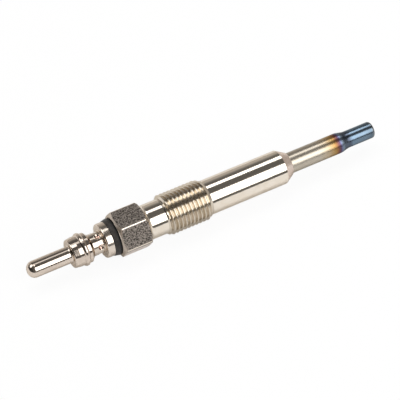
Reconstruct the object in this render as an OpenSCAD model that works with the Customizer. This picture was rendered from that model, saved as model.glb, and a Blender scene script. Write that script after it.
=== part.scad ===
// Diesel glow plug with a sheathed heating element, lying on one flat of its hexagon.
// Every piece is drawn along its own axis, measured from the shell's hexagon face towards
// the glowing tip, and then laid down along X. Sizes are in millimetres.

/* [Connection terminal] */
// Diameter of the push-on pin
pin_d = 4; // [3.5:0.1:4.5]
// Length of the pin, from its round end to the collar
pin_len = 10.65; // [8:0.05:14]
// Rounding of the pin's end
pin_round = 1.75; // [1:0.05:1.75]
// Fillet where the pin runs into the collar
pin_fillet = 0.4; // [0.2:0.05:0.6]
// Diameter of the collar
collar_d = 7.15; // [7.05:0.05:7.4]
// Length of the collar, from the pin to the cone
collar_len = 4.35; // [4:0.05:6]
// Diameter of the collar beside the pin
collar_front_d = 6.75; // [6.4:0.05:7]
// Length of the collar's lead-in taper
collar_lead_len = 1.15; // [0.8:0.05:1.4]
// Rounding of the collar's edge beside the pin
collar_edge = 0.3; // [0.1:0.05:0.5]
// Diameter of the snap ridge
ridge_d = 7.95; // [7.8:0.05:8.3]
// Radius of the snap ridge's half-round section
ridge_round = 0.7; // [0.6:0.05:0.8]
// Distance from the middle of the snap ridge to the cone
ridge_from_cone = 1.35; // [1:0.05:1.7]
// Length of the cone from the collar down to the neck
collar_cone_len = 0.8; // [0.5:0.1:1.5]
// Diameter of the crimped neck
neck_d = 5.25; // [4.8:0.05:5.8]
// Length of the crimped neck
neck_len = 2.75; // [2.4:0.05:4]
// Diameter of the terminal's flange
flange_d = 8.3; // [7.4:0.1:8.4]
// Thickness of the terminal's flange
flange_t = 1.75; // [1.2:0.05:2.5]
// Rounding of the flange's upper edge
flange_edge = 0.4; // [0.1:0.05:0.5]
// Number of crimp dents round the neck
crimp_count = 6; // [4:1:6]
// Radius of the crimping punch's round nose
crimp_r = 0.8; // [0.6:0.05:1]
// Distance from the flange to the middle of the dents
crimp_from_flange = 1; // [0.8:0.05:1.4]
// Depth of the dents below the neck
crimp_depth = 0.4; // [0.2:0.05:0.5]
// Angle from the middle of a hexagon flat to the nearest dent
crimp_turn = 6.5; // [0:0.5:30]

/* [Insulating washer] */
// Diameter of the washer beside the shell
washer_d = 9.2; // [9:0.05:9.3]
// Diameter of the washer beside the terminal
washer_front_d = 8.5; // [8.2:0.1:9]
// Thickness of the washer
washer_t = 1.65; // [1.2:0.05:2.4]
// Rounding of the washer's edge beside the terminal
washer_front_edge = 0.2; // [0.1:0.05:0.3]
// Rounding of the washer's edge beside the shell
washer_edge = 0.45; // [0.2:0.05:0.6]
// Length of the washer's spigot inside the shell
spigot_len = 1.2; // [0.8:0.1:2]

/* [Plug shell] */
// Width of the hexagon across its flats
hex_af = 10; // [10:0.5:12]
// Length of the hexagon along its corners
hex_corner_len = 6.25; // [5:0.05:9]
// Angle of the turned chamfers on the hexagon's corners
hex_chamfer_deg = 30; // [15:1:35]
// Diameter of the round rim in front of the hexagon
rim_d = 9.3; // [9.2:0.05:9.6]
// Length of the rim, from the end face to the hexagon's chamfer
rim_len = 0.1; // [0.1:0.05:1]
// Fillet between the hexagon and the upper barrel
shoulder_fillet = 1.1; // [1:0.05:1.3]
// Diameter of the two barrels
barrel_d = 8.4; // [8:0.1:8.8]
// Length of the upper barrel, from the fillet to the thread
upper_barrel_len = 3.8; // [2:0.1:10]
// Outside diameter of the thread
thread_d = 10; // [9.5:0.5:10]
// Length of the threaded section, with its chamfers
thread_len = 11.75; // [8:0.05:20]
// Length of the thread's chamfer beside the hexagon
thread_back_chamfer = 0.85; // [0.6:0.05:1.5]
// Length of the thread's chamfer beside the tip
thread_front_chamfer = 1.4; // [0.8:0.1:1.8]
// Length of the lower barrel
lower_barrel_len = 20; // [12:0.1:30]
// Full angle of the seat cone
seat_deg = 63; // [55:1:75]
// Diameter of the seat cone at its small end
seat_end_d = 5.6; // [5.2:0.1:5.8]
// Diameter of the bore round the rod
rod_bore_d = 4.4; // [4:0.1:4.6]
// Diameter of the gasket's counterbore
gasket_bore_d = 6.2; // [5.6:0.1:6.4]
// Depth of the gasket's counterbore
gasket_bore_len = 4.6; // [4:0.1:6]

/* [Glow tube] */
// Outside diameter of the tube
tube_d = 5; // [4.8:0.1:5]
// Wall of the tube
tube_wall = 0.6; // [0.4:0.05:0.7]
// Length of the tube held inside the shell
tube_held_len = 18; // [12:0.5:22]
// Length of the bare tube, from the seat cone to the swaged part
tube_free_len = 13.45; // [8:0.05:25]
// Length of the swaged transition
swage_len = 2.9; // [2:0.1:5]
// Outside diameter of the swaged tip
tip_d = 4.1; // [3.8:0.1:4.4]
// Length of the swaged tip
tip_len = 6.9; // [5:0.1:12]
// Rounding at the end of the tip
tip_edge = 0.6; // [0.3:0.05:0.8]
// Thickness of the closed end of the tip
tip_end_t = 1; // [0.8:0.1:1.5]

/* [Centre rod and seals] */
// Diameter of the rod
rod_d = 2.6; // [2.2:0.1:2.8]
// Length of the rod inside the terminal
rod_in_terminal = 7.5; // [5:0.1:9]
// Length of the rod's full diameter inside the tube
rod_in_tube = 10; // [6:0.5:14]
// Length of the spigot that the coil is wound on
rod_spigot_len = 2.5; // [1.5:0.1:4]
// Depth of the groove between the gasket's two beads
gasket_groove = 0.3; // [0.1:0.05:0.4]
// Length of the seal in the open end of the tube
seal_len = 3; // [2:0.1:4]

/* [Coils] */
// Diameter at the middle of the coils' wire
coil_d = 1.9; // [1.7:0.05:2]
// Diameter of the control coil's wire
control_wire_d = 0.35; // [0.25:0.05:0.4]
// Number of turns in the control coil
control_turns = 16; // [8:1:18]
// Diameter of the heater coil's wire
heater_wire_d = 0.3; // [0.2:0.05:0.35]
// Number of turns in the heater coil
heater_turns = 10; // [5:1:14]
// Length of the heater coil along the tip
heater_len = 9.5; // [6:0.5:12]

/* [Fits] */
// Gap left between round faces that fit together
fit_gap = 0.02; // [0.01:0.01:0.05]

/* [Hidden] */
$fn = 96;
coil_sides = 8;
coil_steps = 12;
cut = 1;

// Radii
pin_r = pin_d / 2;
collar_r = collar_d / 2;
collar_front_r = collar_front_d / 2;
ridge_r = ridge_d / 2;
neck_r = neck_d / 2;
flange_r = flange_d / 2;
hex_corner_r = hex_af / 2 / cos(30);
rim_r = rim_d / 2;
barrel_r = barrel_d / 2;
shoulder_r = barrel_r + shoulder_fillet;
thread_r = thread_d / 2;
tube_r = tube_d / 2;
tube_bore_r = tube_r - tube_wall;
tip_r = tip_d / 2;
tip_bore_r = tip_r - tube_wall;
rod_r = rod_d / 2;
rod_hole_r = rod_r + fit_gap;
gasket_bore_r = gasket_bore_d / 2;
coil_r = coil_d / 2;
channel_outer_r = coil_r + control_wire_d / 2 + fit_gap;
channel_inner_r = (coil_r - control_wire_d / 2) * cos(180 / coil_steps) - fit_gap;

// Stations along the axis on the terminal's side of the shell face
washer_top = -washer_t;
flange_top = washer_top - flange_t;
neck_top = flange_top - neck_len;
cone_top = neck_top - collar_cone_len;
ridge_at = cone_top - ridge_from_cone;
collar_top = cone_top - collar_len;
lead_start = collar_top + collar_edge;
lead_end = lead_start + collar_lead_len;
pin_end = collar_top - pin_len;
rod_top = washer_top - rod_in_terminal;

// Stations along the axis on the tip's side of the shell face
hex_corner_start = rim_len + (hex_corner_r - rim_r) * tan(hex_chamfer_deg);
hex_corner_end = hex_corner_start + hex_corner_len;
hex_end = hex_corner_end + (hex_corner_r - shoulder_r) * tan(hex_chamfer_deg);
barrel_start = hex_end + shoulder_fillet;
thread_start = barrel_start + upper_barrel_len;
thread_end = thread_start + thread_len;
seat_start = thread_end + lower_barrel_len;
seat_end = seat_start + (barrel_r - seat_end_d / 2) / tan(seat_deg / 2);
tube_start = seat_end - tube_held_len;
swage_start = seat_end + tube_free_len;
swage_end = swage_start + swage_len;
tip_end = swage_end + tip_len;
tip_inside = tip_end - tip_end_t;
seal_end = tube_start + seal_len;
rod_shoulder = tube_start + rod_in_tube;
rod_end = rod_shoulder + rod_spigot_len;
heater_start = tip_inside - fit_gap - heater_wire_d / 2 - heater_len;
control_start = rod_shoulder + fit_gap + control_wire_d / 2;

// The plug rests on a flat of the hexagon, halfway along its length at X = 0
axis_height = hex_af / 2;
mid_length = (pin_end + tip_end) / 2;

// Lays a piece that was drawn along Z down along X, with a hexagon flat underneath
module lay() {
    translate([-mid_length, 0, axis_height]) rotate([0, 90, 0]) children();
}

// Rectangle of a turned profile: from one radius to another, between two stations
module band(inner, outer, from, to) {
    polygon([[inner, from], [outer, from], [outer, to], [inner, to]]);
}

// Cone of a turned profile: solid from the axis, with one radius at each station
module taper(from_r, from, to_r, to) {
    polygon([[0, from], [from_r, from], [to_r, to], [0, to]]);
}

// Concave fillet of a turned profile, in the corner at a radius and a station.
// Side is -1 where the face lies after the fillet, and 1 where it lies before it.
module fillet(corner_r, at, size, side) {
    difference() {
        band(corner_r - cut, corner_r + size, min(at, at + side * size), max(at, at + side * size));
        translate([corner_r + size, at + side * size]) circle(size);
    }
}

// Cylinder of a turned profile with its outer edges rounded at the first and the last station
module rounded_band(outer, from, to, from_edge, to_edge) {
    difference() {
        band(0, outer, from, to);
        edge_waste(outer, from, from_edge, 1);
        edge_waste(outer, to, to_edge, -1);
    }
}

// What the rounding of an outer edge takes away
module edge_waste(outer, at, size, side) {
    if (size > 0)
        difference() {
            translate([outer - size, at - (side > 0 ? cut : size)]) square(size + cut);
            translate([outer - size, at + side * size]) circle(size);
        }
}

// Pin, collar with its snap ridge, neck and flange, turned from one bar and drilled for the rod
module connection_terminal() {
    color("silver") lay()
        difference() {
            rotate_extrude() {
                rounded_band(pin_r, pin_end, collar_top, pin_round, 0);
                fillet(pin_r, collar_top, pin_fillet, -1);
                rounded_band(collar_front_r, collar_top, lead_start, collar_edge, 0);
                taper(collar_front_r, lead_start, collar_r, lead_end);
                band(0, collar_r, lead_end, cone_top);
                translate([ridge_r - ridge_round, ridge_at]) circle(ridge_round);
                taper(collar_r, cone_top, neck_r, neck_top);
                band(0, neck_r, neck_top, flange_top);
                rounded_band(flange_r, flange_top, washer_top, flange_edge, 0);
            }
            translate([0, 0, rod_top - fit_gap]) cylinder(r = rod_hole_r, h = rod_in_terminal + cut);
            crimp_dents();
        }
}

// Dents of the crimping tool round the neck
module crimp_dents() {
    for (i = [0 : crimp_count - 1])
        rotate([0, 0, crimp_turn + i * 360 / crimp_count])
            translate([neck_r - crimp_depth + crimp_r, 0, flange_top - crimp_from_flange])
                sphere(crimp_r);
}

// Moulded ring with a spigot that centres the rod in the shell
module insulating_washer() {
    color([0.1, 0.1, 0.1]) lay()
        difference() {
            union() {
                intersection() {
                    rotate_extrude()
                        rounded_band(washer_d / 2, washer_top, 0, washer_front_edge, washer_edge);
                    rotate_extrude() taper(washer_front_d / 2, washer_top, washer_d / 2, 0);
                }
                cylinder(r = gasket_bore_r - fit_gap, h = spigot_len);
            }
            translate([0, 0, washer_top - cut])
                cylinder(r = rod_hole_r, h = washer_t + spigot_len + 2 * cut);
        }
}

// Hexagon, barrels, threaded section and seat cone in one turned piece, bored for rod and tube
module plug_shell() {
    color("silver") lay()
        difference() {
            union() {
                intersection() {
                    rotate([0, 0, 30]) cylinder(r = hex_corner_r, h = barrel_start, $fn = 6);
                    rotate_extrude() {
                        taper(rim_r, rim_len, hex_corner_r, hex_corner_start);
                        band(0, hex_corner_r, hex_corner_start, hex_corner_end);
                        taper(hex_corner_r, hex_corner_end, shoulder_r, hex_end);
                        fillet(barrel_r, hex_end, shoulder_fillet, 1);
                    }
                }
                rotate_extrude() shell_barrel();
            }
            shell_bores();
        }
}

// Turned profile of the shell: rim in front of the hexagon, and everything from it to the seat
module shell_barrel() {
    band(0, rim_r, 0, rim_len);
    band(0, barrel_r, hex_corner_end, seat_start);
    taper(barrel_r, thread_start, thread_r, thread_start + thread_back_chamfer);
    band(0, thread_r, thread_start + thread_back_chamfer, thread_end - thread_front_chamfer);
    taper(thread_r, thread_end - thread_front_chamfer, barrel_r, thread_end);
    taper(barrel_r, seat_start, seat_end_d / 2, seat_end);
}

// Counterbore for the gasket, bore round the rod and bore that grips the tube
module shell_bores() {
    translate([0, 0, -cut]) cylinder(r = gasket_bore_r, h = gasket_bore_len + cut);
    cylinder(r = rod_bore_d / 2, h = tube_start + cut);
    translate([0, 0, tube_start]) cylinder(r = tube_r + fit_gap, h = tube_held_len + cut);
}

// Elastomer sleeve with two sealing beads, under the washer's spigot
module double_gasket() {
    bead_len = (gasket_bore_len - spigot_len) / 3;
    groove_start = spigot_len + bead_len;
    groove_end = gasket_bore_len - bead_len;
    outer_r = gasket_bore_r - fit_gap;
    color([0.2, 0.2, 0.22]) lay()
        rotate_extrude()
            difference() {
                band(rod_hole_r, outer_r, spigot_len, gasket_bore_len);
                band(rod_hole_r - cut, rod_hole_r + gasket_groove, groove_start, groove_end);
                band(outer_r - gasket_groove, outer_r + cut, groove_start, groove_end);
            }
}

// Rod from the terminal to the coils, with a spigot for the first turns
module centre_rod() {
    color("gray") lay() {
        translate([0, 0, rod_top]) cylinder(r = rod_r, h = rod_shoulder - rod_top);
        translate([0, 0, rod_shoulder]) cylinder(r = channel_inner_r, h = rod_spigot_len);
    }
}

// Elastomer ring in the open end of the tube
module heater_seal() {
    color([0.3, 0.2, 0.15]) lay()
        rotate_extrude() band(rod_hole_r, tube_bore_r - fit_gap, tube_start, seal_end);
}

// Sheath, swaged down and closed at the tip
module glow_tube() {
    color([0.62, 0.6, 0.56]) lay()
        rotate_extrude()
            difference() {
                tube_form(tube_r, tip_r, tube_start, tip_end, tip_edge);
                tube_form(tube_bore_r, tip_bore_r, tube_start - cut, tip_inside, 0);
            }
}

// Outline of the tube or of what fills it: wide part, swaged transition and tip.
// The transition is an arc that turns in from the wide part and an arc that runs out into the tip.
module tube_form(wide_r, narrow_r, from, to, end_edge) {
    drop = wide_r - narrow_r;
    arc_r = (swage_len * swage_len + drop * drop) / (4 * drop);
    swage_mid = (swage_start + swage_end) / 2;
    band(0, wide_r, from, swage_start);
    intersection() {
        translate([wide_r - arc_r, swage_start]) circle(arc_r);
        band(0, wide_r, swage_start, swage_mid);
    }
    difference() {
        band(0, wide_r - drop / 2, swage_mid, swage_end);
        translate([narrow_r + arc_r, swage_end]) circle(arc_r);
    }
    rounded_band(narrow_r, swage_end, to, 0, end_edge);
}

// Compacted powder: a sleeve outside the coils and a core inside them
module filling_powder() {
    color([0.93, 0.92, 0.88]) lay()
        rotate_extrude()
            difference() {
                tube_form(tube_bore_r - fit_gap, tip_bore_r - fit_gap, seal_end, tip_inside, 0);
                band(0, rod_hole_r, seal_end - cut, rod_shoulder + fit_gap);
                band(0, channel_outer_r, rod_shoulder, rod_end + fit_gap);
                band(channel_inner_r, channel_outer_r, rod_shoulder, tip_inside + cut);
            }
}

// One cross-section of a coil's wire
function wire_ring(wire_r, turn, at) = [
    for (k = [0 : coil_sides - 1])
        let (
            around = 360 * k / coil_sides,
            out = coil_r + wire_r * cos(around)
        )
        [out * cos(360 * turn), out * sin(360 * turn), at + wire_r * sin(around)]
];

// Helix of round wire from one station to another
module coil(wire_d, turns, from, to, first_turn) {
    last = turns * coil_steps;
    rings = [
        for (i = [0 : last])
            wire_ring(wire_d / 2, first_turn + i / coil_steps, from + (to - from) * i / last)
    ];
    skin = [
        for (i = [0 : last - 1], k = [0 : coil_sides - 1])
            let (
                a = i * coil_sides + k,
                b = i * coil_sides + (k + 1) % coil_sides
            )
            each [[a, b, b + coil_sides], [a, b + coil_sides, a + coil_sides]]
    ];
    start_cap = [[for (k = [coil_sides - 1 : -1 : 0]) k]];
    end_cap = [[for (k = [0 : coil_sides - 1]) last * coil_sides + k]];
    polyhedron(points = [for (ring = rings) each ring], faces = concat(skin, start_cap, end_cap));
}

// Regulating coil, from the rod's shoulder to the heater coil
module control_coil() {
    color([0.75, 0.62, 0.42]) lay() coil(control_wire_d, control_turns, control_start, heater_start, 0);
}

// Heating coil, from the control coil to the closed end of the tip
module heater_coil() {
    color([0.7, 0.45, 0.3]) lay()
        coil(heater_wire_d, heater_turns, heater_start, heater_start + heater_len, control_turns);
}

connection_terminal();
insulating_washer();
plug_shell();
double_gasket();
centre_rod();
heater_seal();
glow_tube();
filling_powder();
control_coil();
heater_coil();
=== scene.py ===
import math

import bmesh
import bpy
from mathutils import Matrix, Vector


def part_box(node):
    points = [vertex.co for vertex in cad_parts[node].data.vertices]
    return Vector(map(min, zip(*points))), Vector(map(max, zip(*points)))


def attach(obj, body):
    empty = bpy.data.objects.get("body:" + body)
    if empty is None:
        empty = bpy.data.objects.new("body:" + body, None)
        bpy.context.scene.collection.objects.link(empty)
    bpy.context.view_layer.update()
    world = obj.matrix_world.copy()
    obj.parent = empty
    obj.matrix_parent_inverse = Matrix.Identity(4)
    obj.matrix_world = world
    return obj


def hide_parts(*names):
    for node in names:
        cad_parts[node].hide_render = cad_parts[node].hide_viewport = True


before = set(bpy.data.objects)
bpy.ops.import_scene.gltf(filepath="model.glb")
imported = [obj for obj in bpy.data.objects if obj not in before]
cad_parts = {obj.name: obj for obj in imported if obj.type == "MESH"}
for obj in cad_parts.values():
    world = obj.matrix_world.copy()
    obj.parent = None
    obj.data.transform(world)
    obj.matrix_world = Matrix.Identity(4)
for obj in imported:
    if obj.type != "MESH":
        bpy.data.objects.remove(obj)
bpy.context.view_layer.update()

# Glow tube
# The sheath of the heating element: a drawn tube of heat-resistant alloy, swaged down and closed
# at the tip, then pressed into the shell. Its first glow has tinted it from straw to blue.
MM = 0.001
ARC_STEP = math.radians(9)
HOLD = 0.03 * MM
LONG_RUN = 6 * HOLD
MERGE = 0.0001 * MM
SHARP = math.radians(33)


def outline(corners, arc_step=ARC_STEP):
    """Points of a turned profile through corners of (x, radius, rounding), rounded ones as arcs."""
    points = []
    for i, (x, r, rounding) in enumerate(corners):
        here = Vector((x, r))
        if rounding == 0 or i in (0, len(corners) - 1):
            points.append(here)
            continue
        before = (here - Vector(corners[i - 1][:2])).normalized()
        after = (Vector(corners[i + 1][:2]) - here).normalized()
        bend = math.atan2(before.x * after.y - before.y * after.x, before.dot(after))
        inward = Vector((-before.y, before.x)) * math.copysign(rounding, bend)
        start = here - before * rounding * math.tan(abs(bend) / 2)
        steps = max(2, round(abs(bend) / arc_step))
        for k in range(steps + 1):
            angle = abs(bend) * k / steps
            points.append(start + before * rounding * math.sin(angle) + inward * (1 - math.cos(angle)))
    return points


def held(points):
    """Adds a point near both ends of each long straight stretch, which keeps its shading straight."""
    kept = [points[0]]
    for start, end in zip(points, points[1:]):
        run = end - start
        if run.length > LONG_RUN:
            step = run.normalized() * HOLD
            kept += [start + step, end - step]
        kept.append(end)
    return kept


def round_axis(x, r, angle):
    """The point at a station along the plug, and at a radius and an angle round its axis."""
    return Vector((x, r * math.cos(angle), axis_height + r * math.sin(angle)))


def even_angles(columns):
    """Angles of that many columns, evenly spaced over one turn."""
    return [turn * k / columns for k in range(columns)]


def revolve(points, angles):
    """Rows of points round the plug's axis, one row for each point of a profile."""
    return [[round_axis(x, r, angle) for angle in angles] for x, r in points]


def loft(name, rows, finishes, finish_at=None, seam=None):
    """A mesh through rows of points round the axis, which rides on the plug.

    finish_at gives the place in finishes for a band and a column, and seam the row that each
    row meets after one turn, where that isn't the row itself.
    """
    seam = seam or range(len(rows))
    mesh = bmesh.new()
    grid = [[mesh.verts.new(point) for point in row] for row in rows]
    count = len(rows[0])
    for i in range(len(rows) - 1):
        for j in range(count):
            wraps = j + 1 == count
            after = grid[seam[i]][0] if wraps else grid[i][j + 1]
            after_next = grid[seam[i + 1]][0] if wraps else grid[i + 1][j + 1]
            corners = dict.fromkeys([grid[i][j], after, after_next, grid[i + 1][j]])
            face = mesh.faces.new(corners)
            face.material_index = finish_at(i, j) if finish_at else 0
    bmesh.ops.remove_doubles(mesh, verts=mesh.verts, dist=MERGE)
    bmesh.ops.recalc_face_normals(mesh, faces=mesh.faces)
    for face in mesh.faces:
        face.smooth = True
    for edge in mesh.edges:
        edge.smooth = edge.calc_face_angle(0) < SHARP
    data = bpy.data.meshes.new(name)
    mesh.to_mesh(data)
    mesh.free()
    for finish in finishes:
        data.materials.append(finish)
    piece = bpy.data.objects.new(name, data)
    bpy.context.scene.collection.objects.link(piece)
    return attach(piece, "root")


class Signal:
    """One output of a material's nodes. Arithmetic on values adds Math nodes."""

    def __init__(self, tree, socket):
        self.tree = tree
        self.socket = socket

    def node(self, kind, settings=None, sockets=None, output=0):
        """Adds a node: first its settings, then the values or links of its sockets."""
        made = self.tree.nodes.new("ShaderNode" + kind)
        for name, value in (settings or {}).items():
            if name == "stops":
                ramp = made.color_ramp.elements
                ramp.remove(ramp[1])
                ramp[0].position, ramp[0].color = value[0][0], (*value[0][1], 1)
                for position, colour in value[1:]:
                    ramp.new(position).color = (*colour, 1)
            else:
                setattr(made, name, value)
        for name, value in (sockets or {}).items():
            if isinstance(value, Signal):
                self.tree.links.new(value.socket, made.inputs[name])
            else:
                made.inputs[name].default_value = value
        return Signal(self.tree, made.outputs[output]) if made.outputs else None

    def math(self, operation, first, second=0.0):
        return self.node("Math", {"operation": operation}, {0: first, 1: second})

    def __add__(self, other):
        return self.math("ADD", self, other)

    def __radd__(self, other):
        return self.math("ADD", other, self)

    def __sub__(self, other):
        return self.math("SUBTRACT", self, other)

    def __rsub__(self, other):
        return self.math("SUBTRACT", other, self)

    def __mul__(self, other):
        return self.math("MULTIPLY", self, other)

    def __rmul__(self, other):
        return self.math("MULTIPLY", other, self)

    def __truediv__(self, other):
        return self.math("DIVIDE", self, other)

    def __rtruediv__(self, other):
        return self.math("DIVIDE", other, self)


def new_material(name):
    """An empty material, and where on the plug each point of its surface lies."""
    material = bpy.data.materials.new(name)
    material.use_nodes = True
    tree = material.node_tree
    tree.nodes.clear()
    return material, Signal(tree, tree.nodes.new("ShaderNodeTexCoord").outputs["Object"])


def shade(place, sockets):
    """Ends a material in its shader."""
    place.node("OutputMaterial", {}, {"Surface": place.node("BsdfPrincipled", {}, sockets)})


def split(place):
    """The three coordinates of a point."""
    parts = place.node("SeparateXYZ", {}, {0: place})
    return [Signal(place.tree, out) for out in parts.socket.node.outputs]


def grain(place, size, stretch=(1, 1, 1), detail=2):
    """Noise with features of about that size, drawn out along the axes with a stretch above 1."""
    scale = [1 / (size * s) for s in stretch]
    spread = place.node("VectorMath", {"operation": "MULTIPLY"}, {0: place, 1: scale})
    return place.node("TexNoise", {}, {"Vector": spread, "Scale": 1, "Detail": detail})


def rise(value, start, end):
    """A smooth step from 0 at start to 1 at end."""
    limits = {"Value": value, "From Min": start, "From Max": end}
    return value.node("MapRange", {"interpolation_type": "SMOOTHSTEP"}, limits)


def mix(factor, first, second):
    """One colour at factor 0 and another at factor 1."""
    return factor.node("Mix", {"data_type": "RGBA"}, {0: factor, 6: first, 7: second}, 2)


def bump(height, distance, strength=1.0):
    """The normal of a surface with that height, from 0 to 1, at that real depth."""
    return height.node("Bump", {}, {"Strength": strength, "Distance": distance, "Height": height})


turn = 2 * math.pi
tube_low, tube_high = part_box("glow_tube")
axis_height = (tube_low.z + tube_high.z) / 2
tube_r = (tube_high.z - tube_low.z) / 2
tube_wall = 0.6 * MM
tube_back_edge = 0.1 * MM
tip_r = 2.05 * MM
tip_len = 6.9 * MM
tip_edge = 0.6 * MM
tip_end_t = 1.0 * MM
swage_len = 2.9 * MM
swage_end = tube_high.x - tip_len
swage_start = swage_end - swage_len
SWAGE_STEPS = 14
TUBE_COLUMNS = 96


def swage(wide_r, narrow_r):
    """Corners of the transition, which eases out of the tube and into the tip."""
    shares = [k / SWAGE_STEPS for k in range(SWAGE_STEPS + 1)]
    return [
        (swage_start + swage_len * s, wide_r + (narrow_r - wide_r) * s * s * (3 - 2 * s), 0)
        for s in shares
    ]


tube_profile = outline(
    [(tube_high.x, 0, 0), (tube_high.x, tip_r, tip_edge)]
    + swage(tube_r, tip_r)[::-1]
    + [(tube_low.x, tube_r, tube_back_edge), (tube_low.x, tube_r - tube_wall, 0)]
    + swage(tube_r - tube_wall, tip_r - tube_wall)
    + [(tube_high.x - tip_end_t, tip_r - tube_wall, 0), (tube_high.x - tip_end_t, 0, 0)]
)

# Temper colours along the tube, at distances in millimetres from the end of the tip
TINTS = (
    (15.6, (0.49, 0.44, 0.365)),
    (13.4, (0.47, 0.38, 0.265)),
    (12.4, (0.44, 0.31, 0.165)),
    (11.4, (0.37, 0.23, 0.085)),
    (10.9, (0.30, 0.15, 0.06)),
    (10.4, (0.19, 0.085, 0.07)),
    (9.9, (0.11, 0.065, 0.11)),
    (9.6, (0.14, 0.155, 0.27)),
    (9.2, (0.18, 0.23, 0.285)),
    (8.6, (0.10, 0.12, 0.155)),
    (7.8, (0.09, 0.11, 0.145)),
    (7.0, (0.085, 0.105, 0.145)),
    (6.2, (0.155, 0.22, 0.29)),
    (3.0, (0.155, 0.213, 0.272)),
    (0.9, (0.12, 0.165, 0.21)),
    (0.0, (0.24, 0.24, 0.24)),
)
tint_from = tube_high.x - TINTS[0][0] * MM
tint_len = TINTS[0][0] * MM
TINT_WANDER = 0.035

tube_finish, place = new_material("tinted_tube_alloy")
along = split(place)[0]
patches = grain(place, 1.2 * MM, detail=3)
drawn_lines = grain(place, 0.09 * MM, stretch=(14, 1, 1), detail=3)
speckle = grain(place, 0.28 * MM, detail=2)
heat = (along - tint_from) / tint_len + (patches - 0.5) * TINT_WANDER
stops = [(1 - distance * MM / tint_len, colour) for distance, colour in TINTS]
tint = place.node("ValToRGB", {"stops": stops}, {"Fac": heat})
worn = mix(drawn_lines, (0.82, 0.82, 0.82, 1), (1.12, 1.12, 1.12, 1))
multiply = {"data_type": "RGBA", "blend_type": "MULTIPLY"}
colour = place.node("Mix", multiply, {0: 1.0, 6: tint, 7: worn}, 2)
shade(place, {
    "Base Color": colour,
    "Metallic": 1.0,
    "Specular Tint": (0.70, 0.68, 0.64, 1),
    "Roughness": 0.28 + 0.08 * patches - 0.09 * rise(heat, 0.35, 0.5),
    "Normal": bump(drawn_lines * 0.6 + speckle * 0.4, 0.004 * MM),
})

tube_rows = revolve(held(tube_profile), even_angles(TUBE_COLUMNS))
tube = loft("glow_tube_sheath", tube_rows, [tube_finish])
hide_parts("glow_tube")


# Coils
# Two wires wound as one helix and welded end to end: the heating wire runs to the closed tip,
# and the regulating wire back to the rod. Drawn wire, with the faint lines of the die.
def wire_finish(name, colour, oxide):
    """Drawn wire with a thin oxide in patches."""
    material, place = new_material(name)
    patches = grain(place, 0.5 * MM, detail=3)
    lines = grain(place, 0.04 * MM, stretch=(1, 6, 6), detail=1)
    shade(place, {
        "Base Color": mix(rise(patches, 0.4, 0.7), colour, oxide),
        "Metallic": 1.0,
        "Roughness": 0.28 + 0.2 * patches,
        "Normal": bump(lines, 0.003 * MM),
    })
    return material


def dress(node, finish):
    """Gives a carried-over solid its finish."""
    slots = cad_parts[node].data.materials
    slots.clear()
    slots.append(finish)


dress("heater_coil", wire_finish("heater_wire", (0.50, 0.42, 0.36, 1), (0.30, 0.24, 0.22, 1)))
dress("control_coil", wire_finish("control_wire", (0.66, 0.60, 0.50, 1), (0.48, 0.40, 0.32, 1)))

# Centre rod
# A drawn steel rod that carries the current from the terminal to the coils. Its spigot holds
# the first turns of the regulating coil.
rod_finish, place = new_material("drawn_rod_steel")
die_lines = grain(place, 0.07 * MM, stretch=(40, 1, 1), detail=2)
shade(place, {
    "Base Color": mix(die_lines, (0.46, 0.46, 0.46, 1), (0.60, 0.59, 0.57, 1)),
    "Metallic": 1.0,
    "Roughness": 0.22 + 0.15 * die_lines,
    "Normal": bump(die_lines, 0.004 * MM),
})
dress("centre_rod", rod_finish)

# Filling powder
# White magnesia, tamped round the coils and pressed hard when the tube is swaged. It carries
# the heat outwards and keeps the wire off the wall.
powder_finish, place = new_material("pressed_magnesia")
lumps = grain(place, 0.25 * MM, detail=4)
shade(place, {
    "Base Color": mix(lumps, (0.80, 0.79, 0.74, 1), (0.94, 0.93, 0.90, 1)),
    "Roughness": 0.85 + 0.1 * lumps,
    "Normal": bump(lumps, 0.03 * MM),
})
dress("filling_powder", powder_finish)


# Heater seal and double gasket
# Two moulded elastomer rings on the rod: a brown one that closes the tube, and a black one with
# two beads that seals the rod in the shell.
def rubber_finish(name, dark, pale):
    """Moulded elastomer with a dusty bloom."""
    material, place = new_material(name)
    bloom = grain(place, 0.4 * MM, detail=4)
    shade(place, {
        "Base Color": mix(bloom, dark, pale),
        "Roughness": 0.55 + 0.2 * bloom,
        "Normal": bump(bloom, 0.01 * MM),
    })
    return material


seal_rubber = rubber_finish("brown_seal_rubber", (0.13, 0.05, 0.03, 1), (0.22, 0.10, 0.07, 1))
dress("heater_seal", seal_rubber)
gasket_rubber = rubber_finish("black_gasket_rubber", (0.02, 0.02, 0.02, 1), (0.07, 0.07, 0.07, 1))
dress("double_gasket", gasket_rubber)

# Plug shell
# Turned from hexagon bar: rim, hexagon, barrels, rolled M10 x 1 thread and seat cone in one
# piece, bored from both ends and nickel plated. The flats keep the grain of the blasted bar.
shell_low, shell_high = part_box("plug_shell")
shell_face = shell_low.x
seat_end = shell_high.x
sixth = turn / 6
flat_r = (shell_high.z - shell_low.z) / 2
corner_r = flat_r / math.cos(sixth / 2)
hex_corner_rounding = 0.7 * MM
hex_corner_len = 6.25 * MM
chamfer_slope = math.tan(math.radians(30))
rear_chamfer_slope = math.tan(math.radians(53))
rim_r = 4.65 * MM
rim_len = 0.1 * MM
rim_edge = 0.03 * MM
barrel_r = 4.2 * MM
shoulder_fillet = 1.1 * MM
upper_barrel_len = 3.8 * MM
pitch = 1.0 * MM
thread_crest_r = 4.95 * MM
crest_half = 0.09 * MM
root_half = 0.05 * MM
crest_rounding = 0.07 * MM
root_rounding = 0.05 * MM
flank_slope = math.tan(math.radians(30))
thread_phase = -0.235
thread_len = 11.75 * MM
thread_start_chamfer = 0.85 * MM
thread_end_chamfer = 1.4 * MM
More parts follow.
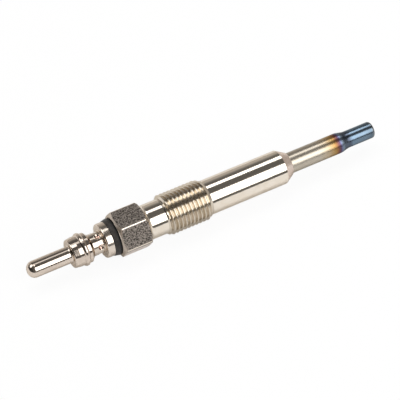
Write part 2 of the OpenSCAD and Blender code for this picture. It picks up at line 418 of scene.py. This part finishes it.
thread_outer_r = 5.0 * MM
seat_half_angle = math.radians(63 / 2)
seat_end_r = 2.8 * MM
seat_edge = 0.12 * MM
seat_end_edge = 0.05 * MM
gasket_bore_r = 3.1 * MM
gasket_bore_len = 4.6 * MM
gasket_bore_edge = 0.12 * MM
rod_bore_r = 2.2 * MM
fit_gap = 0.02 * MM
THREAD_ARC_STEP = math.radians(20)
FLAT_COLUMNS = 24
CORNER_COLUMNS = 12
CORNER_GRAIN_COLUMNS = 3

shoulder_r = barrel_r + shoulder_fillet
hex_corner_start = shell_face + rim_len + (corner_r - rim_r) * chamfer_slope
hex_corner_end = hex_corner_start + hex_corner_len
hex_end = hex_corner_end + (corner_r - shoulder_r) * chamfer_slope
barrel_start = hex_end + shoulder_fillet
thread_start = barrel_start + upper_barrel_len
thread_end = thread_start + thread_len
thread_root_r = thread_crest_r - (pitch / 2 - crest_half - root_half) / flank_slope
seat_start = seat_end - (barrel_r - seat_end_r) / math.tan(seat_half_angle)

# Columns round the shell: close together on the rounded corners, wider apart on the flats
corner_centre = (flat_r - hex_corner_rounding) / math.cos(sixth / 2)
corner_half = math.atan2(
    hex_corner_rounding * math.sin(sixth / 2),
    corner_centre + hex_corner_rounding * math.cos(sixth / 2),
)
shell_angles = []
for k in range(6):
    corner = k * sixth
    for i in range(CORNER_COLUMNS):
        shell_angles.append(corner - corner_half + 2 * corner_half * i / CORNER_COLUMNS)
    for i in range(FLAT_COLUMNS):
        shell_angles.append(corner + corner_half + (sixth - 2 * corner_half) * i / FLAT_COLUMNS)


def hex_r(angle):
    """Distance from the axis to the hexagon's side, with its corners rounded."""
    off = (angle + sixth / 2) % sixth - sixth / 2
    if abs(off) < corner_half:
        across = corner_centre * math.sin(off)
        return corner_centre * math.cos(off) + math.sqrt(hex_corner_rounding**2 - across**2)
    return flat_r / math.cos(sixth / 2 - abs(off))


def hex_row(station_at):
    """A row along the hexagon's sides, at the station that station_at gives for each radius."""
    reach = [(hex_r(angle), angle) for angle in shell_angles]
    return [round_axis(station_at(r), r, angle) for r, angle in reach]


def flat_start(r):
    """Where the chamfer in front of the hexagon reaches a radius."""
    return shell_face + rim_len + (r - rim_r) * chamfer_slope


def flat_end(r):
    """Where the chamfer behind the hexagon, or the shoulder's fillet, leaves a radius."""
    if r >= shoulder_r:
        return hex_end - (r - shoulder_r) * rear_chamfer_slope
    return barrel_start - math.sqrt(shoulder_fillet**2 - (shoulder_r - r) ** 2)


def shoulder_row(angle_down):
    """A row round the fillet, which ends at the flats where they stand in its way."""
    fillet_r = shoulder_r - shoulder_fillet * math.sin(angle_down)
    reach = [(min(fillet_r, hex_r(angle)), angle) for angle in shell_angles]
    return [round_axis(flat_end(r), r, angle) for r, angle in reach]


# One pitch of the thread: narrow crests and round roots between flanks at 60 degrees
thread_form = held(outline([
    (-pitch / 2, thread_root_r, 0),
    (root_half - pitch / 2, thread_root_r, root_rounding),
    (-crest_half, thread_crest_r, crest_rounding),
    (crest_half, thread_crest_r, crest_rounding),
    (pitch / 2 - root_half, thread_root_r, root_rounding),
    (pitch / 2, thread_root_r, 0),
], THREAD_ARC_STEP))[:-1]


def thread_limit(x):
    """Radius of the turned blank that the thread runs out into at both ends."""
    from_start = (x - thread_start) / thread_start_chamfer
    from_end = (thread_end - x) / thread_end_chamfer
    return barrel_r + (thread_outer_r - barrel_r) * min(from_start, from_end, 1)


def thread_row(first_turn, offset, r):
    """A row that climbs one pitch in a turn, held between the ends of the threaded section."""
    points = []
    for angle in shell_angles:
        x = thread_start + pitch * (first_turn + thread_phase + angle / turn) + offset
        x = min(max(x, thread_start), thread_end)
        points.append(round_axis(x, min(r, thread_limit(x)), angle))
    return points


front_profile = held(outline([
    (shell_face + gasket_bore_len, rod_bore_r, 0),
    (shell_face + gasket_bore_len, gasket_bore_r, 0),
    (shell_face, gasket_bore_r, gasket_bore_edge),
    (shell_face, rim_r, rim_edge),
    (shell_face + rim_len, rim_r, 0),
]))
barrel_profile = held([Vector((barrel_start, barrel_r)), Vector((thread_start, barrel_r))])
end_profile = held(outline([
    (thread_end, barrel_r, 0),
    (seat_start, barrel_r, seat_edge),
    (seat_end, seat_end_r, seat_end_edge),
    (seat_end, tube_r + fit_gap, 0),
    (tube_low.x, tube_r + fit_gap, 0),
    (tube_low.x, rod_bore_r, 0),
    (shell_face + gasket_bore_len, rod_bore_r, 0),
]))
thread_turns = math.ceil(thread_len / pitch) + 1
thread_rows = [
    thread_row(k, offset, r)
    for k in range(-1, thread_turns)
    for offset, r in thread_form
]
thread_rows.append(thread_row(thread_turns, -pitch / 2, thread_root_r))
hex_rows = [hex_row(flat_start), hex_row(flat_end)]
front_rows = revolve(front_profile, shell_angles)
quarter = turn / 4
shoulder_steps = round(quarter / ARC_STEP)
shoulder_rows = [shoulder_row(quarter * k / shoulder_steps) for k in range(shoulder_steps)]
shoulder_rows += revolve(barrel_profile, shell_angles)
end_rows = revolve(end_profile, shell_angles)
shell_rows = front_rows + hex_rows + shoulder_rows + thread_rows + end_rows

PLATED, GRAINED, THREADED, SEAT, CHAMFER = 0, 1, 2, 3, 4
first_hex = len(front_rows)
first_thread = first_hex + len(hex_rows) + len(shoulder_rows)
last_thread = first_thread + len(thread_rows) - 1
on_seat = [
    i for i, point in enumerate(end_profile)
    if point.x > seat_start and point.y > tube_r + fit_gap
]
first_seat = last_thread + 1 + on_seat[0]
last_seat = last_thread + 1 + on_seat[-1]
shell_seam = list(range(len(shell_rows)))
for i in range(first_thread, last_thread + 1):
    shell_seam[i] = min(i + len(thread_form), last_thread)


def shell_finish_at(band, column):
    """Grain on the flats, between the worn corners, and a finish of its own on each cut face, darkened
    on the rim and chamfers as painted shade.
    """
    from_corner = column % (CORNER_COLUMNS + FLAT_COLUMNS)
    worn = CORNER_GRAIN_COLUMNS <= from_corner < CORNER_COLUMNS - CORNER_GRAIN_COLUMNS
    if band == first_hex:
        return PLATED if worn else GRAINED
    if band < first_hex or band == first_hex + 1:
        return CHAMFER
    if first_thread <= band < last_thread:
        return THREADED
    return SEAT if first_seat <= band < last_seat else PLATED


def nickel_finish(name, bright, dull, roughness, mark_depth):
    """Bright nickel on a turned surface: cloudy in places, with the fine rings of the tool."""
    material, place = new_material(name)
    clouds = grain(place, 2.2 * MM, detail=4)
    rings = grain(place, 0.11 * MM, stretch=(1, 60, 60), detail=2)
    shade(place, {
        "Base Color": mix(rise(clouds, 0.3, 0.75), bright, dull),
        "Metallic": 1.0,
        "Specular Tint": (0.80, 0.76, 0.70, 1),
        "Roughness": roughness + 0.05 * clouds + 0.04 * rings,
        "Normal": bump(rings, mark_depth),
    })
    return material


shell_nickel = nickel_finish(
    "shell_nickel", (0.81, 0.74, 0.65, 1), (0.77, 0.69, 0.58, 1), 0.07, 0.0006 * MM
)
thread_nickel = nickel_finish(
    "thread_nickel", (0.67, 0.60, 0.51, 1), (0.60, 0.53, 0.43, 1), 0.12, 0.001 * MM
)
seat_nickel = nickel_finish(
    "seat_nickel", (0.74, 0.63, 0.56, 1), (0.68, 0.56, 0.49, 1), 0.20, 0.002 * MM
)
# The chamfers' darker base is painted shade, standing in for the black ring and the flange's shade
# they reflect; their higher roughness is the cut faces' own
chamfer_nickel = nickel_finish(
    "chamfer_nickel", (0.56, 0.49, 0.42, 1), (0.49, 0.42, 0.35, 1), 0.30, 0.002 * MM
)

# The lower flats are painted a plain tan towards the rim in place of their grain, a painted reflection
# of the floor, and the low flats are painted pale, a painted reflection of the lit floor beneath
painted_reflection_heights = (axis_height + 0.3 * MM, axis_height + 1.8 * MM)
painted_reflection_stations = (shell_face + 0.9 * MM, shell_face + 1.6 * MM)
painted_reflection_wander = 0.5 * MM
painted_light_heights = (3.2 * MM, 4.7 * MM)

hex_grain, place = new_material("grained_hexagon")
along, _, up = split(place)
pits = grain(place, 0.31 * MM, detail=3)
fine_pits = grain(place, 0.18 * MM, detail=2)
clouds = grain(place, 2.5 * MM, detail=3)
dust = rise(pits * 0.6 + fine_pits * 0.4, 0.42, 0.60)
low_down = 1 - rise(up, *painted_reflection_heights)
# Painted reflection: low down near the rim the grain gives way to a plain tan, standing in for the
# floor seen there
painted_reflection = low_down * (1 - rise(along + painted_reflection_wander * clouds, *painted_reflection_stations))
blasted = mix(dust, (0.060, 0.053, 0.047, 1), (0.48, 0.42, 0.37, 1))
# Painted reflection: the low flats are painted pale, standing in for the bright floor below them
painted_low_light = 1 - rise(up, *painted_light_heights)
flats = mix(painted_low_light * 0.75, blasted, (0.88, 0.80, 0.74, 1))
shade(place, {
    "Base Color": mix(painted_reflection * 0.65, flats, (0.50, 0.43, 0.36, 1)),
    "Metallic": 1.0,
    "Roughness": 0.28 + 0.08 * clouds + 0.2 * painted_low_light,
    "Normal": bump(pits * 0.5 + fine_pits * 0.5, 0.005 * MM),
})

shell_finishes = [shell_nickel, hex_grain, thread_nickel, seat_nickel, chamfer_nickel]
shell = loft("turned_shell", shell_rows, shell_finishes, shell_finish_at, shell_seam)
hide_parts("plug_shell")

# Insulating washer
# A moulded black ring between terminal and shell, slightly tapered, with a spigot in the
# shell's mouth that centres the rod.
washer_low, washer_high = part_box("insulating_washer")
washer_back_r = 4.6 * MM
washer_front_r = 4.25 * MM
washer_front_edge = 0.2 * MM
washer_edge = 0.45 * MM
washer_spigot_edge = 0.1 * MM
# Where the ring is painted near black as shade beside the shell
painted_shade_stations = (shell_face - 0.62 * MM, shell_face - 0.45 * MM)
rod_hole_r = 1.32 * MM
WASHER_COLUMNS = 128

washer_profile = held(outline([
    (washer_low.x, rod_hole_r, 0),
    (washer_low.x, washer_front_r, washer_front_edge),
    (shell_face, washer_back_r, washer_edge),
    (shell_face, gasket_bore_r - fit_gap, 0),
    (washer_high.x, gasket_bore_r - fit_gap, washer_spigot_edge),
    (washer_high.x, rod_hole_r, 0),
    (washer_low.x, rod_hole_r, 0),
]))

washer_finish, place = new_material("black_insulator")
skin_marks = grain(place, 0.12 * MM, detail=3)
scuffs = grain(place, 0.9 * MM, stretch=(0.4, 1, 1), detail=4)
# Painted shade: the ring is painted near black next to the shell, where its edge lies in the shell's
# shade
painted_shade_band = rise(split(place)[0], *painted_shade_stations)
charcoal = mix(rise(scuffs, 0.3, 0.75), (0.020, 0.017, 0.015, 1), (0.044, 0.038, 0.034, 1))
shade(place, {
    "Base Color": mix(painted_shade_band, charcoal, (0.006, 0.006, 0.006, 1)),
    "Specular IOR Level": 0.35,
    "Roughness": 0.40 + 0.14 * scuffs + 0.2 * painted_shade_band,
    "Normal": bump(skin_marks, 0.006 * MM),
})

washer_rows = revolve(washer_profile, even_angles(WASHER_COLUMNS))
washer = loft("insulating_ring", washer_rows, [washer_finish])
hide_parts("insulating_washer")

# Connection terminal
# A turned and nickel-plated contact: push-on pin, collar with a snap ridge, neck and flange. It is
# drilled for the rod and crimped onto it, which leaves a ring of dents in the neck.
pin_low, flange_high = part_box("connection_terminal")
pin_end = pin_low.x
washer_top = flange_high.x
pin_r = 2.0 * MM
pin_round = 1.75 * MM
pin_fillet = 0.4 * MM
pin_len = 10.65 * MM
collar_r = 3.575 * MM
collar_len = 4.35 * MM
collar_front_r = 3.375 * MM
collar_edge = 0.3 * MM
collar_lead_len = 1.15 * MM
collar_lead_edge = 0.3 * MM
lead_trim = 0.1 * MM
ridge_r = 3.975 * MM
ridge_round = 0.7 * MM
ridge_from_cone = 1.35 * MM
collar_cone_len = 0.8 * MM
collar_cone_edge = 0.1 * MM
neck_r = 2.625 * MM
neck_len = 2.75 * MM
neck_fillet = 0.15 * MM
neck_plain_front = 0.2 * MM
neck_plain_back = 0.16 * MM
flange_r = (flange_high.z - pin_low.z) / 2
flange_edge = 0.4 * MM
flange_back_edge = 0.06 * MM
rod_in_terminal = 7.5 * MM
crimp_count = 6
crimp_r = 0.8 * MM
crimp_depth = 0.4 * MM
crimp_from_flange = 1.0 * MM
crimp_turn = math.radians(6.5)
TERMINAL_COLUMNS = 180
NECK_ROWS = 44

collar_top = pin_end + pin_len
lead_end = collar_top + collar_edge + collar_lead_len
cone_top = collar_top + collar_len
ridge_at = cone_top - ridge_from_cone
neck_top = cone_top + collar_cone_len
flange_top = neck_top + neck_len
dent_at = flange_top - crimp_from_flange
dent_reach = neck_r - crimp_depth + crimp_r


def neck_dent(x, angle):
    """Radius of the neck where the crimping punch's round nose has pressed it in."""
    step = turn / crimp_count
    off = (angle - crimp_turn) % step - step / 2
    half_sq = crimp_r**2 - (x - dent_at) ** 2 - (dent_reach * math.sin(off)) ** 2
    if half_sq <= 0:
        return neck_r
    return min(neck_r, dent_reach * math.cos(off) - math.sqrt(half_sq))


ridge_centre_r = ridge_r - ridge_round
ridge_half_angle = math.acos((collar_r - ridge_centre_r) / ridge_round)
ridge_steps = round(2 * ridge_half_angle / ARC_STEP)
ridge_arc = []
for k in range(ridge_steps + 1):
    lean = ridge_half_angle * (2 * k / ridge_steps - 1)
    x = ridge_at + ridge_round * math.sin(lean)
    r = ridge_centre_r + ridge_round * math.cos(lean)
    ridge_arc.append((x, r, 0))

pin_profile = held(outline([
    (pin_end, 0, 0),
    (pin_end, pin_r, pin_round),
    (collar_top, pin_r, pin_fillet),
    (collar_top, collar_front_r, collar_edge),
    (lead_end, collar_r, collar_lead_edge),
    *ridge_arc,
    (cone_top, collar_r, collar_cone_edge),
    (neck_top, neck_r, neck_fillet),
    (neck_top + neck_plain_front, neck_r, 0),
]))
flange_profile = held(outline([
    (flange_top - neck_plain_back, neck_r, 0),
    (flange_top, neck_r, neck_fillet),
    (flange_top, flange_r, flange_edge),
    (washer_top, flange_r, flange_back_edge),
    (washer_top, rod_hole_r, 0),
    (washer_top - rod_in_terminal, rod_hole_r, 0),
    (washer_top - rod_in_terminal, 0, 0),
]))
terminal_angles = even_angles(TERMINAL_COLUMNS)
neck_from = pin_profile[-1].x
neck_to = flange_profile[0].x
neck_rows = []
for k in range(1, NECK_ROWS):
    x = neck_from + (neck_to - neck_from) * k / NECK_ROWS
    neck_rows.append([round_axis(x, neck_dent(x, angle), angle) for angle in terminal_angles])
pin_rows = revolve(pin_profile, terminal_angles)
terminal_rows = pin_rows + neck_rows + revolve(flange_profile, terminal_angles)

# The terminal's nickel is darker than the shell's: painted shade, for the dimmer light under the
# terminal's end
terminal_nickel = nickel_finish(
    "terminal_nickel", (0.67, 0.58, 0.50, 1), (0.61, 0.52, 0.445, 1), 0.06, 0.0006 * MM
)

# The punch has rubbed the plating off where it pressed in
bare_depths = (0.02 * MM, 0.20 * MM)
crimped_nickel, place = new_material("crimped_nickel")
across, up = split(place)[1:]
up = up - axis_height
pressed_in = neck_r - place.math("SQRT", across * across + up * up)
clouds = grain(place, 0.9 * MM, detail=4)
bare = rise(pressed_in, *bare_depths) * rise(clouds, 0.3, 0.6)
# Its nickel is darkened like the terminal's, painted shade; the copper where the plating is rubbed off
# is wear
shade(place, {
    "Base Color": mix(bare, (0.64, 0.555, 0.47, 1), (0.72, 0.47, 0.38, 1)),
    "Metallic": 1.0,
    "Roughness": 0.08 + 0.10 * clouds,
    "Normal": bump(clouds, 0.01 * MM),
})

turned_nickel = nickel_finish(
    "turned_nickel", (0.72, 0.64, 0.56, 1), (0.65, 0.56, 0.48, 1), 0.14, 0.004 * MM
)
BRIGHT, CRIMPED, TURNED = 0, 1, 2


def terminal_finish_at(band, column):
    """Bright plating, but for the crimped neck and the duller lead-in and flange."""
    x = terminal_rows[band][0].x
    if len(pin_rows) <= band < len(pin_rows) + len(neck_rows):
        return CRIMPED
    on_lead = band < len(pin_rows) and collar_top + collar_edge <= x < lead_end - lead_trim
    return TURNED if on_lead or x > flange_top - fit_gap else BRIGHT


terminal_finishes = [terminal_nickel, crimped_nickel, turned_nickel]
terminal = loft("crimped_terminal", terminal_rows, terminal_finishes, terminal_finish_at)
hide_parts("connection_terminal")

# Floor and studio
# A plain pale table under long soft boxes parallel to the plug: one on the camera's side, a row of
# three past the zenith, a strip and a window at the terminal's end, and a fill that lights the
# table. Between them the room is dim, and pale walls stand low down.
FLOOR_R = 4.0
FLOOR_DROP = 0.01 * MM
FLOOR_SEGMENTS = 96
FLOOR_COLOUR = (0.9, 0.9, 0.9, 1)
CAMERA_SHARE = 0.93
MIRROR_SHARE = 0.10
LAMP_DISTANCE = 0.7

floor_mesh = bmesh.new()
bmesh.ops.create_circle(floor_mesh, cap_ends=True, radius=FLOOR_R, segments=FLOOR_SEGMENTS)
floor_data = bpy.data.meshes.new("floor")
floor_mesh.to_mesh(floor_data)
floor_mesh.free()
floor = bpy.data.objects.new("floor", floor_data)
floor.location.z = -FLOOR_DROP
bpy.context.scene.collection.objects.link(floor)

floor_finish, place = new_material("pale_floor")
rays = place.node("LightPath").socket.node.outputs
seen = Signal(place.tree, rays["Is Camera Ray"]) * CAMERA_SHARE
for kind in ("Is Glossy Ray", "Is Transmission Ray"):
    seen = seen.math("MAXIMUM", seen, Signal(place.tree, rays[kind]) * MIRROR_SHARE)
paper = place.node("BsdfDiffuse", {}, {"Color": FLOOR_COLOUR})
white = place.node("Emission", {}, {"Color": (1, 1, 1, 1), "Strength": 1.0})
lit = place.node("MixShader", {}, {0: seen, 1: paper, 2: white})
place.node("OutputMaterial", {}, {"Surface": lit})
floor_data.materials.append(floor_finish)

# The room: dim above, with pale walls low down, and darker past the terminal
WORLD_DIM = 0.13
WORLD_WALL = 0.56
WALL_SLANT = 1.2
WALL_SIDES = (-0.35, 0.45)
WALL_TOPS = (0.2, 0.68)
TERMINAL_END = (0.5, 0.9)
TERMINAL_LOSS = 0.7

world = bpy.data.worlds.new("studio")
bpy.context.scene.world = world
world.use_nodes = True
world.node_tree.nodes.clear()
way = Signal(world.node_tree, world.node_tree.nodes.new("ShaderNodeTexCoord").outputs["Generated"])
along, across, height = split(way)
walls = rise(across + WALL_SLANT * along, *WALL_SIDES) * (1 - rise(height, *WALL_TOPS))
terminal_side = rise(-1 * along, *TERMINAL_END)
glow = way.node("Background", {}, {
    "Color": mix(walls, (1.0, 0.97, 0.93, 1), (1.0, 0.94, 0.88, 1)),
    "Strength": (WORLD_DIM + (WORLD_WALL - WORLD_DIM) * walls) * (1 - TERMINAL_LOSS * terminal_side),
})
way.node("OutputWorld", {}, {"Surface": glow})


def soft_box(name, angles, ends, radiance):
    """A long lamp that fills a range of angles round the plug, between two ends along it.

    The angles are in degrees, from the near side's horizon over the top, and the ends in metres.
    """
    low_deg, high_deg = angles
    left, right = ends
    middle = math.radians((low_deg + high_deg) / 2)
    lamp = bpy.data.lights.new(name, "AREA")
    lamp.shape = "RECTANGLE"
    lamp.size = right - left
    lamp.size_y = 2 * LAMP_DISTANCE * math.tan(math.radians(high_deg - low_deg) / 2)
    lamp.energy = radiance * math.pi * lamp.size * lamp.size_y
    holder = bpy.data.objects.new(name, lamp)
    towards = Vector((0, -math.cos(middle), math.sin(middle)))
    holder.location = Vector(((left + right) / 2, 0, axis_height)) + towards * LAMP_DISTANCE
    holder.rotation_mode = "QUATERNION"
    holder.rotation_quaternion = towards.to_track_quat("Z", "Y")
    holder.visible_camera = False
    bpy.context.scene.collection.objects.link(holder)
    return holder


soft_box("near_soft_box", angles=(18, 63), ends=(-0.03, 0.62), radiance=3.2)
soft_box("far_soft_box", angles=(104.5, 120.5), ends=(0.203, 0.297), radiance=3.2)
soft_box("far_soft_box_tip", angles=(104.5, 126), ends=(0.297, 0.62), radiance=3.4)
soft_box("far_soft_box_end", angles=(104, 119), ends=(-0.30, 0.203), radiance=1.0)
soft_box("overhead_strip", angles=(88, 106), ends=(-0.12, 0.08), radiance=2.0)
soft_box("window", angles=(103, 134), ends=(-0.95, -0.20), radiance=2.6)
fill = soft_box("floor_fill", angles=(82, 122), ends=(-0.3, 0.3), radiance=1.4)
fill.visible_glossy = False
bpy.context.scene.view_settings.view_transform = "Standard"

# Camera
# A long lens that looks down on the plug from beside its terminal. The two aims slide it
# sideways and up or down, so that the plug lies in the frame as in the photograph.
camera_azimuth = math.radians(-28.965)
camera_elevation = math.radians(48.609)
camera_distance = 450 * MM
camera_lens = 174.11
sensor_width = 36
nearest_seen = 10 * MM
aim_right = -1.110 * MM
aim_up = -0.397 * MM

camera_data = bpy.data.cameras.new("camera")
camera_data.sensor_width = sensor_width
camera_data.lens = camera_lens
camera_data.clip_start = nearest_seen
camera = bpy.data.objects.new("camera", camera_data)
bpy.context.scene.collection.objects.link(camera)
bpy.context.scene.camera = camera
back = Vector((
    math.sin(camera_azimuth) * math.cos(camera_elevation),
    -math.cos(camera_azimuth) * math.cos(camera_elevation),
    math.sin(camera_elevation),
))
right = Vector((math.cos(camera_azimuth), math.sin(camera_azimuth), 0))
aim = right * aim_right + back.cross(right) * aim_up
camera.location = Vector((0, 0, axis_height)) + back * camera_distance + aim
camera.rotation_mode = "QUATERNION"
camera.rotation_quaternion = back.to_track_quat("Z", "Y")
